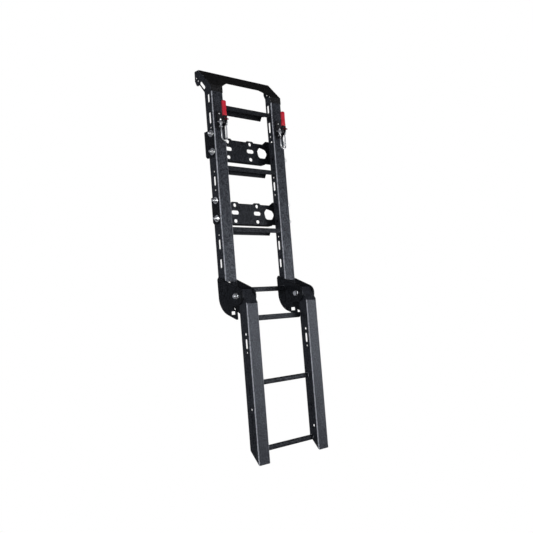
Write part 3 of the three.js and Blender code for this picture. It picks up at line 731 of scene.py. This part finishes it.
BRACKET_FLATS = 17
BRACKET_HEAD = 6
BRACKET_BOLT_RADIUS = 5.0
BRACKET_PITCH = 1.5
WASHER = 2.5
rng = random.Random(7)
for name, side in SIDES:
    for i in (1, 2, 3, 4):
        lo, hi = cad(f"{name}_bracket_bolt_{i}")
        nlo, nhi = cad(f"{name}_bracket_nut_{i}")
        y, z = (lo.y + hi.y) / 2, (lo.z + hi.z) / 2
        near, far = sorted((lo.x, hi.x), key=abs)
        seat, nut_end = sorted((nlo.x, nhi.x), key=abs)
        head_end = near + side * BRACKET_HEAD
        turn = rng.random()
        bolt = merge(
            hex_solid("x", y, z, near, head_end, BRACKET_FLATS, side > 0, side < 0, turn),
            lathe([(w, BRACKET_BOLT_RADIUS) for w in sorted((head_end, seat))], "x", y, z),
            thread("x", y, z, seat, far, BRACKET_BOLT_RADIUS, BRACKET_PITCH),
        )
        piece(f"{name}_bolt_{i}", bolt, "frame", "zinc", [f"{name}_bracket_bolt_{i}"], edge=0, smooth=30)
        rim = seat + side * WASHER
        nut = locknut(y, z, rim, nut_end, side, BRACKET_FLATS, rng.random(), 2.4, (7.9, 7.7, 6.9), 5.15)
        piece(f"{name}_nut_{i}", nut, "frame", "zinc", edge=0.25, smooth=30)
        piece(f"{name}_washer_{i}", washer("x", y, z, seat, rim, 5.4, 14), "frame", "zinc",
              [f"{name}_bracket_nut_{i}"], edge=0, smooth=30)
        # Black ring just inside the nut's bore: painted shade in the nut's recess.
        recess_shade = cut(
            lathe([(w, 6.7) for w in sorted((nut_end - side * 1.6, nut_end - side * 0.25))], "x", y, z),
            prism(circle(y, z, 5.05), "x", nut_end - side * 3, nut_end + side),
        )
        piece(f"{name}_nut_recess_shade_{i}", recess_shade, "frame", "black_steel", edge=0, smooth=30)

# ---------- hinge plates ----------
PIVOT_FLATS = 19
PIVOT_HEAD = 10
PIVOT_BOLT_RADIUS = 6.0
PIVOT_PITCH = 1.75
PIVOT_HOLE = 6.4
BUSH_RADIUS = 9.2
hinge_outline = rounded([
    (38, 84, 2), (46, 75, 4), (44, -50, 80), (-60, -94, 4), (-60, -52, 1.5), (-42, -52, 3), (-42, -36, 3),
    (-102, -36, 34), (-102, 22, 34),
], 20)
for name, side in SIDES:
    for place in ("inner", "outer"):
        lo, hi = cad(f"{name}_{place}_hinge_plate")
        plate = cut(
            prism(hinge_outline, "x", lo.x, hi.x),
            prism(box(-50, -71, -23, -58, 2), "x", lo.x - 1, hi.x + 1),
            prism(circle(PIVOT_Y, 0, PIVOT_HOLE), "x", lo.x - 1, hi.x + 1),
        )
        # Darker coat: painted shade on the hinge plates.
        piece(f"{name}_{place}_hinge", plate, "frame", "powder_coat", [f"{name}_{place}_hinge_plate"],
              edge=0.7, coat="powder_coat_shaded")
    outer_x = side * (RAIL_OUTER + 0.5)
    inner_x = side * (RAIL_INNER - 0.5)
    weld(f"{name}_hinge_weld_outer", (outer_x, 41, 82.5), (outer_x, 3, 66), 1.7, "frame", 41)
    weld(f"{name}_hinge_weld_inner", (inner_x, 33, 80.5), (inner_x, 3, 66), 1.7, "frame", 43)

    # pivot bolt, nut, washer and bush
    lo, hi = cad(f"{name}_pivot_bolt")
    nlo, nhi = cad(f"{name}_pivot_nut")
    near, far = sorted((lo.x, hi.x), key=abs)
    seat, nut_end = sorted((nlo.x, nhi.x), key=abs)
    head_end = near + side * PIVOT_HEAD
    bolt = merge(
        hex_solid("x", PIVOT_Y, 0, near, head_end - side * 2, PIVOT_FLATS, side > 0, side < 0, 0.3),
        washer("x", PIVOT_Y, 0, head_end - side * 2, head_end, 5.9, 11.6),
        lathe([(w, PIVOT_BOLT_RADIUS) for w in sorted((head_end - side, seat))], "x", PIVOT_Y, 0),
        thread("x", PIVOT_Y, 0, seat, far, PIVOT_BOLT_RADIUS, PIVOT_PITCH),
    )
    piece(f"{name}_pivot", bolt, "frame", "zinc", [f"{name}_pivot_bolt"], edge=0, smooth=30)
    rim = seat + side * WASHER
    nut = locknut(PIVOT_Y, 0, rim, nut_end, side, PIVOT_FLATS, 0.6, 2.6, (8.9, 8.7, 7.8), 6.15)
    piece(f"{name}_pivot_locknut", nut, "frame", "zinc", [f"{name}_pivot_nut"], edge=0.25, smooth=30)
    piece(f"{name}_pivot_washer", washer("x", PIVOT_Y, 0, seat, rim, PIVOT_HOLE, 12), "frame", "zinc",
          edge=0, smooth=30)
    lo, hi = cad(f"{name}_pivot_bush")
    bush = cut(
        lathe([
            (lo.x, 8.7), (lo.x + 0.5, BUSH_RADIUS), (hi.x - 0.5, BUSH_RADIUS), (hi.x, 8.7),
        ], "x", PIVOT_Y, 0),
        prism(circle(PIVOT_Y, 0, PIVOT_HOLE), "x", lo.x - 1, hi.x + 1),
    )
    piece(f"{name}_bush", bush, "frame", "zinc", [f"{name}_pivot_bush"], edge=0, smooth=30)

# ---------- lower rails ----------
LOWER_FRONT = cad("left_lower_rail")[0].y
LOWER_REAR = -71.0
LOWER_BOTTOM = cad("left_lower_rail")[0].z
LOWER_REAR_BOTTOM = -597.0
LOWER_BEND = -34.0
LOWER_CAP_TOP = cad("left_lower_rail")[1].z
LOWER_SLOT_LINE = -96.0
LOWER_SLOTS = ((-208, -169), (-314, -275), (-385, -346), (-498, -460), (-570, -532))
CAP_BACK = 32.0
KEEPER_TIP = -640
BUSH_HOLE = 9.6
ROUND_HOLE = 5
STRIP_ENDS = (-583, -262)
STRIP_HALF = 10.5

for name, side in SIDES:
    lo, hi = cad(f"{name}_lower_rail")
    outline = rounded([
        (LOWER_FRONT, LOWER_BOTTOM), (LOWER_FRONT, LOWER_BEND, 6), (LOWER_FRONT + CAP_BACK, LOWER_CAP_TOP, 2),
        (PIVOT_Y + 20, LOWER_CAP_TOP, 16), (PIVOT_Y + 20, -18, 14), (LOWER_REAR, -32, 3),
        (LOWER_REAR, LOWER_REAR_BOTTOM, 4),
    ], 12)
    hollow = rounded([
        (LOWER_FRONT + SHEET, LOWER_BOTTOM - 9), (LOWER_FRONT + SHEET, LOWER_BEND - 1.5, 3),
        (LOWER_FRONT + CAP_BACK + SHEET + 0.7, LOWER_CAP_TOP + 6), (0, LOWER_CAP_TOP + 6),
        (0, LOWER_BOTTOM - 9),
    ], 10)
    plan = rounded([
        (lo.x, LOWER_FRONT, OUTER_BEND), (hi.x, LOWER_FRONT, OUTER_BEND), (hi.x, 0), (lo.x, 0),
    ], 8)
    body = common(
        prism(outline, "x", lo.x, hi.x),
        prism(plan, "z", LOWER_BOTTOM - 1, LOWER_CAP_TOP + 1),
    )
    body = cut(body, prism(hollow, "x", lo.x + SHEET, hi.x - SHEET),
               prism(circle(PIVOT_Y, 0, BUSH_HOLE), "x", lo.x - 1, hi.x + 1),
               *slots_and_holes(LOWER_SLOTS, (-222,), LOWER_SLOT_LINE, lo.x - 1, hi.x + 1),
               prism(circle(LOWER_SLOT_LINE, -151, ROUND_HOLE), "x", lo.x - 1, hi.x + 1))
    # strips inside both walls close off the four lower slots
    bottom, top = STRIP_ENDS
    strip = box(LOWER_SLOT_LINE - STRIP_HALF, bottom, LOWER_SLOT_LINE + STRIP_HALF, top, 3)
    strips = [prism(strip, "x", inner - 0.2, inner + 2.2) for inner in (lo.x + SHEET, hi.x - SHEET - 2)]
    outer_face = hi.x if side > 0 else lo.x
    inner_face = lo.x if side > 0 else hi.x
    body = cut(
        union(body, *strips),
        prism(circle(LOWER_SLOT_LINE, -440, ROUND_HOLE), "x", outer_face - side * 8, outer_face + side),
        prism(circle(LOWER_SLOT_LINE, -553, ROUND_HOLE), "x", inner_face + side * 8, inner_face - side),
    )
    piece(f"{name}_leg", body, "lower_ladder", "powder_coat", [f"{name}_lower_rail"], edge=0.5)
    lo, hi = cad(f"{name}_latch_keeper")
    back = lo.y
    tip = KEEPER_TIP
    keeper = prism(rounded([
        (back, tip + 30), (back, tip - 6), (back + 2.2, tip - 6), (back + 2.2, tip + 14, 2),
        (back + 12, tip + 14, 2), (back + 12, tip, 0.8), (back + 15, tip, 0.8), (back + 15, tip + 17, 4),
        (back + 2.2, tip + 17, 2), (back + 2.2, tip + 30),
    ], 8), "x", lo.x, hi.x)
    piece(f"{name}_keeper", keeper, "lower_ladder", "black_steel", [f"{name}_latch_keeper"], edge=0.3)

# ---------- rungs ----------
lo, hi = cad("rung_5")
bar = prism(rounded([
    (lo.x, hi.z, 2), (hi.x, hi.z, 2), (hi.x, hi.z - 16, 1), (hi.x - 6, lo.z, 2), (lo.x + 6, lo.z, 2),
    (lo.x, hi.z - 16, 1),
], 6), "y", lo.y, hi.y)
# Darker coat: painted shade on the rungs.
piece("rung_5_bar", bar, "lower_ladder", "powder_coat", ["rung_5"], edge=0.8, coat="powder_coat_shaded")
for i in (6, 7):
    lo, hi = cad(f"rung_{i}")
    tube = cut(
        prism(box(lo.y, lo.z, hi.y, hi.z, 4, 10), "x", lo.x, hi.x),
        prism(box(lo.y + 2, lo.z + 2, hi.y - 2, hi.z - 2, 2, 6), "x", lo.x - 1, hi.x + 1),
    )
    # Darker coat: painted shade on the rungs.
    piece(f"rung_{i}_tube", tube, "lower_ladder", "powder_coat", [f"rung_{i}"], edge=0.2,
          coat="powder_coat_shaded")
    for name, side in SIDES:
        x = side * (hi.x - 0.5)
        weld(f"rung_{i}_weld_top_{name}", (x, lo.y + 3, hi.z + 0.1), (x, hi.y - 3, hi.z + 0.1), 1.5,
             "lower_ladder", i)
        weld(f"rung_{i}_weld_front_{name}", (x, lo.y - 0.1, lo.z + 3), (x, lo.y - 0.1, hi.z - 3), 1.5,
             "lower_ladder", i + 5)

# ---------- latches ----------
LATCH_Y, LATCH_Z = -12.0, 695.0
BAIL_Y, BAIL_Z = -25.0, 709.0
LEG = 13.5
WIRE = 3.0
BAIL_TOP = 724.0
BAIL_BEND = 648.0
THREAD_FROM = 688
BAIL_PITCH = 1.7
BAIL_THREAD = 0.45
BLOCK_HALF = 5.5
BLOCK_INNER = 8.6
BLOCK_OUTER = 18.5
LEVER_INNER = 5.9
LEVER_OUTER = 8
LATCH_PIN_HOLE = 3.3
BRIDGE_TOP = 733
TANG_TOP = 791
PAD_TOP = 762


def dome(axis, u, v, w0, height, radius):
    """A low round rivet head standing on w0."""
    angles = [math.pi / 2 * k / 8 for k in range(8)]
    profile = [(w0 + height * math.sin(a), radius * math.cos(a)) for a in angles]
    return lathe(sorted([(w0, radius), *profile[1:]]), axis, u, v, 32)


def bail(x):
    """One bent rod, threaded where its four nuts run."""
    route = []
    steps = 90
    for k in range(steps + 1):
        z = BAIL_TOP + (BAIL_BEND - BAIL_TOP) * k / steps
        route.append((Vector((x - LEG, BAIL_Y, z)), Vector((0, 0, -1))))
    for k in range(1, 25):
        a = math.pi * k / 24
        route.append((Vector((x - LEG * math.cos(a), BAIL_Y, BAIL_BEND - LEG * math.sin(a))),
                      Vector((math.sin(a), 0, -math.cos(a)))))
    for k in range(1, steps + 1):
        z = BAIL_BEND + (BAIL_TOP - BAIL_BEND) * k / steps
        route.append((Vector((x + LEG, BAIL_Y, z)), Vector((0, 0, 1))))
    rings = []
    for point, heading in route:
        threaded = point.z > THREAD_FROM
        side = heading.cross(Vector((0, 1, 0)))
        ring = []
        for k in range(20):
            angle = math.tau * k / 20
            r = WIRE
            if threaded:
                phase = (point.z / BAIL_PITCH - k / 20) % 1.0
                r = WIRE - BAIL_THREAD + BAIL_THREAD * min(1.0, abs(phase - 0.5) * 2.4)
                r = min(r, WIRE - max(0.0, point.z - BAIL_TOP + 0.9))
            ring.append(point + (side * math.cos(angle) + Vector((0, 1, 0)) * math.sin(angle)) * r)
        rings.append(ring)
    nuts = []
    for dx in (-LEG, LEG):
        for end in (-1, 1):
            a = BAIL_Z + end * 5.8
            b = BAIL_Z + end * 10.8
            nuts.append(cut(hex_solid("z", x + dx, BAIL_Y, a, b, 10, True, True, 0.15 + 0.2 * end),
                            prism(circle(x + dx, BAIL_Y, 2.9), "z", a - end, b + end)))
    return merge(loft(rings), *nuts)


def grip(x, lo, hi):
    """A dipped vinyl sleeve with a slight waist and a rounded end."""
    cy = (lo.y + hi.y) / 2
    half_w, half_d = (hi.x - lo.x) / 2, (hi.y - lo.y) / 2
    rings = []
    length = hi.z - lo.z
    levels = [(0.0, 0.90), (0.8, 0.97), (2.0, 1.0)]
    levels += [(2 + (length - 8) * k / 12, 1.0 - 0.07 * math.sin(math.pi * k / 12)) for k in range(1, 12)]
    levels += [(length - 6 + 6 * math.sin(a), max(0.12, math.cos(a) ** 0.6))
               for a in (math.pi / 2 * k / 9 for k in range(9))]
    levels.append((length, 0.10))
    for rise, size in levels:
        ring = []
        for k in range(40):
            a = math.tau * k / 40
            c, s = math.cos(a), math.sin(a)
            ring.append(Vector((
                x + half_w * size * math.copysign(abs(c) ** 0.7, c),
                cy + half_d * size * math.copysign(abs(s) ** 0.7, s),
                lo.z + rise,
            )))
        rings.append(ring)
    return loft(rings)


for name, side in SIDES:
    x = side * RAIL_CENTRE
    base_profile = rounded([
        (-0.3, LATCH_Z - 12), (-0.3, LATCH_Z + 16), (-6, LATCH_Z + 8, 2), (LATCH_Y - 8, LATCH_Z + 8, 7.9),
        (LATCH_Y - 8, LATCH_Z - 8, 7.9),
    ], 10)
    pad = prism(rounded([
        (x - 14, LATCH_Z - 12, 3), (x + 14, LATCH_Z - 12, 3), (x + 14, PAD_TOP, 8), (x - 14, PAD_TOP, 8),
    ], 8), "y", -0.3 - SHEET, -0.3)
    ears = [prism(base_profile, "x", x + a, x + a + 2) for a in (-10.3, 8.3)]
    pin_hole = prism(circle(LATCH_Y, LATCH_Z, LATCH_PIN_HOLE), "x", x - 12, x + 12)
    piece(f"{name}_latch_plate", cut(union(pad, *ears), pin_hole), "frame", "black_steel",
          [f"{name}_latch_base"], edge=0.35)
    rivet_places = ((0, 751), (-8, 717), (8, 717))
    rivets = merge(*[dome("y", x + dx, z, -3.2, -2.2, 3.6) for dx, z in rivet_places])
    piece(f"{name}_latch_rivets", rivets, "frame", "zinc", edge=0, smooth=40)
    lo, hi = cad(f"{name}_latch_pin")
    pin = merge(
        lathe([(lo.x + 1, 3.0), (hi.x - 1, 3.0)], "x", LATCH_Y, LATCH_Z),
        lathe([(lo.x, 3.6), (lo.x + 0.4, 4.3), (lo.x + 1, 4.3)], "x", LATCH_Y, LATCH_Z),
        lathe([(hi.x - 1, 4.3), (hi.x - 0.4, 4.3), (hi.x, 3.6)], "x", LATCH_Y, LATCH_Z),
    )
    piece(f"{name}_latch_rivet_pin", pin, "frame", "zinc", [f"{name}_latch_pin"], edge=0, smooth=40)

    cheek = rounded([
        (-5.5, LATCH_Z - 6, 5), (-16, LATCH_Z - 6, 5), (-33, 701, 4), (-41.5, 713, 4),
        (-41.5, BRIDGE_TOP, 1), (-30.5, BRIDGE_TOP, 1), (-30.5, 724, 2), (-18, 717, 3),
        (-5.5, LATCH_Z + 7, 4),
    ], 10)
    handle = union(
        prism(cheek, "x", x - LEVER_OUTER, x - LEVER_INNER),
        prism(cheek, "x", x + LEVER_INNER, x + LEVER_OUTER),
        prism(box(-41.5, BRIDGE_TOP - 4, -30.5, BRIDGE_TOP, 1), "x", x - 7.5, x + 7.5),
        prism(box(-37.5, BRIDGE_TOP - 2, -34.5, TANG_TOP), "x", x - 7, x + 7),
    )
    handle = cut(handle, prism(circle(LATCH_Y, LATCH_Z, LATCH_PIN_HOLE), "x", x - 12, x + 12),
                 prism(circle(BAIL_Y, BAIL_Z, 3.7), "x", x - 12, x + 12))
    piece(f"{name}_lever", handle, f"{name}_handle", "black_steel", [f"{name}_latch_handle"], edge=0.3)
    lo, hi = cad(f"{name}_latch_grip")
    piece(f"{name}_sleeve", grip(x, lo, hi), f"{name}_handle", "grip_red", [f"{name}_latch_grip"],
          edge=0, smooth=60)

    square = box(BAIL_Y - BLOCK_HALF, BAIL_Z - BLOCK_HALF, BAIL_Y + BLOCK_HALF, BAIL_Z + BLOCK_HALF, 1.5)
    blocks = union(
        prism(square, "x", x - BLOCK_OUTER, x - BLOCK_INNER),
        prism(square, "x", x + BLOCK_INNER, x + BLOCK_OUTER),
        lathe([(x - 9, 3.5), (x + 9, 3.5)], "x", BAIL_Y, BAIL_Z),
    )
    blocks = cut(blocks, *[prism(circle(x + dx, BAIL_Y, 3.2, 28), "z", 700, 720) for dx in (-LEG, LEG)])
    piece(f"{name}_cross", blocks, f"{name}_bail", "zinc", [f"{name}_latch_crosshead"], edge=0.4)
    piece(f"{name}_bail_rod", bail(x), f"{name}_bail", "zinc", [f"{name}_latch_bail"], edge=0, smooth=35)

    tab = cut(prism(rounded([
        (-32.5, 718.5, 3), (-40, 717, 3), (-53, 712, 2), (-56, 716, 2), (-42, 725, 2), (-32.5, 725.5, 3),
    ], 8), "x", x - 4, x + 4), prism(circle(-36, 721.5, 1.8), "x", x - 5, x + 5))
    piece(f"{name}_tab", tab, f"{name}_catch", "catch_red", [f"{name}_latch_catch"], edge=0.5)

# ---------- floor, light and camera ----------
BACKDROP = 1.0
FILL = 0.9
FRONT_POWER = 70
STRIP_POWER = 45
LEFT_POWER = 12
FLOOR_GAP = 0.002
floor_mesh = bpy.data.meshes.new("floor")
floor_mesh.from_pydata([(-30, -30, 0), (30, -30, 0), (30, 30, 0), (-30, 30, 0)], [], [(0, 1, 2, 3)])
floor = bpy.data.objects.new("floor", floor_mesh)
floor.location.z = cad_box[0].z - FLOOR_GAP
scene.collection.objects.link(floor)
floor_material, tree, shader = finish_nodes("studio_floor")
tree.links.new(ramp(tree, noise(tree, 3, 2), [(0.3, (0.50,)), (0.7, (0.54,))]), shader.inputs["Base Color"])
shader.inputs["Roughness"].default_value = 0.9
glow = tree.nodes.new("ShaderNodeEmission")
glow.inputs["Strength"].default_value = BACKDROP
rays = tree.nodes.new("ShaderNodeLightPath")
mix = tree.nodes.new("ShaderNodeMixShader")
tree.links.new(rays.outputs["Is Camera Ray"], mix.inputs[0])
tree.links.new(shader.outputs[0], mix.inputs[1])
tree.links.new(glow.outputs[0], mix.inputs[2])
tree.links.new(mix.outputs[0], tree.nodes["Material Output"].inputs["Surface"])
floor_mesh.materials.append(floor_material)

world = bpy.data.worlds.new("studio")
scene.world = world
world.use_nodes = True
tree = world.node_tree
tree.nodes.clear()
output = tree.nodes.new("ShaderNodeOutputWorld")
backdrop = tree.nodes.new("ShaderNodeBackground")
backdrop.inputs["Color"].default_value = (1, 1, 1, 1)
backdrop.inputs["Strength"].default_value = BACKDROP
fill = tree.nodes.new("ShaderNodeBackground")
direction = tree.nodes.new("ShaderNodeTexCoord")
split = tree.nodes.new("ShaderNodeSeparateXYZ")
tree.links.new(direction.outputs["Generated"], split.inputs[0])
tree.links.new(ramp(tree, split.outputs["Z"], [
    (0.0, (0.56, 0.58, 0.64)), (0.06, (0.49, 0.51, 0.56)), (0.20, (0.24, 0.25, 0.28)),
    (0.30, (0.07, 0.07, 0.08)), (1.0, (0.02, 0.02, 0.02)),
]), fill.inputs["Color"])
fill.inputs["Strength"].default_value = FILL
rays = tree.nodes.new("ShaderNodeLightPath")
mix = tree.nodes.new("ShaderNodeMixShader")
tree.links.new(rays.outputs["Is Camera Ray"], mix.inputs[0])
tree.links.new(fill.outputs[0], mix.inputs[1])
tree.links.new(backdrop.outputs[0], mix.inputs[2])
tree.links.new(mix.outputs[0], output.inputs[0])
scene.view_settings.view_transform = "Standard"


def area_light(name, place, target, size, power):
    light = bpy.data.lights.new(name, "AREA")
    light.shape = "RECTANGLE"
    light.size, light.size_y = size
    light.energy = power
    obj = bpy.data.objects.new(name, light)
    scene.collection.objects.link(obj)
    obj.location = place
    obj.rotation_mode = "QUATERNION"
    obj.rotation_quaternion = (Vector(target) - Vector(place)).to_track_quat("-Z", "Y")


area_light("front_softbox", (2.3, -2.9, -1.0), (0, 0, -0.9), (1.8, 1.6), FRONT_POWER)
area_light("corner_strip", (-2.3, -2.6, -0.45), (0, 0, -0.45), (0.14, 2.6), STRIP_POWER)
area_light("left_softbox", (-3.6, -0.6, 0.6), (0, 0, -0.4), (0.8, 2.0), LEFT_POWER)

CAMERA_PLACE = (-1965.59, -2158.13, -87.08)
CAMERA_AZIMUTH = 42.779
CAMERA_PITCH = 4.048
CAMERA_ROLL = -4.579
FOCAL_PIXELS = 699.6
FRAME_PIXELS = 533
SENSOR = 36
camera_data = bpy.data.cameras.new("camera")
camera_data.sensor_width = SENSOR
camera_data.lens = SENSOR * FOCAL_PIXELS / FRAME_PIXELS
camera = bpy.data.objects.new("camera", camera_data)
scene.collection.objects.link(camera)
camera.matrix_world = (
    Matrix.Translation(ORIGIN + Vector(CAMERA_PLACE) * MM)
    @ Matrix.Rotation(math.radians(-CAMERA_AZIMUTH), 4, "Z")
    @ Matrix.Rotation(math.radians(90 + CAMERA_PITCH), 4, "X")
    @ Matrix.Rotation(math.radians(CAMERA_ROLL), 4, "Z")
)
scene.camera = camera
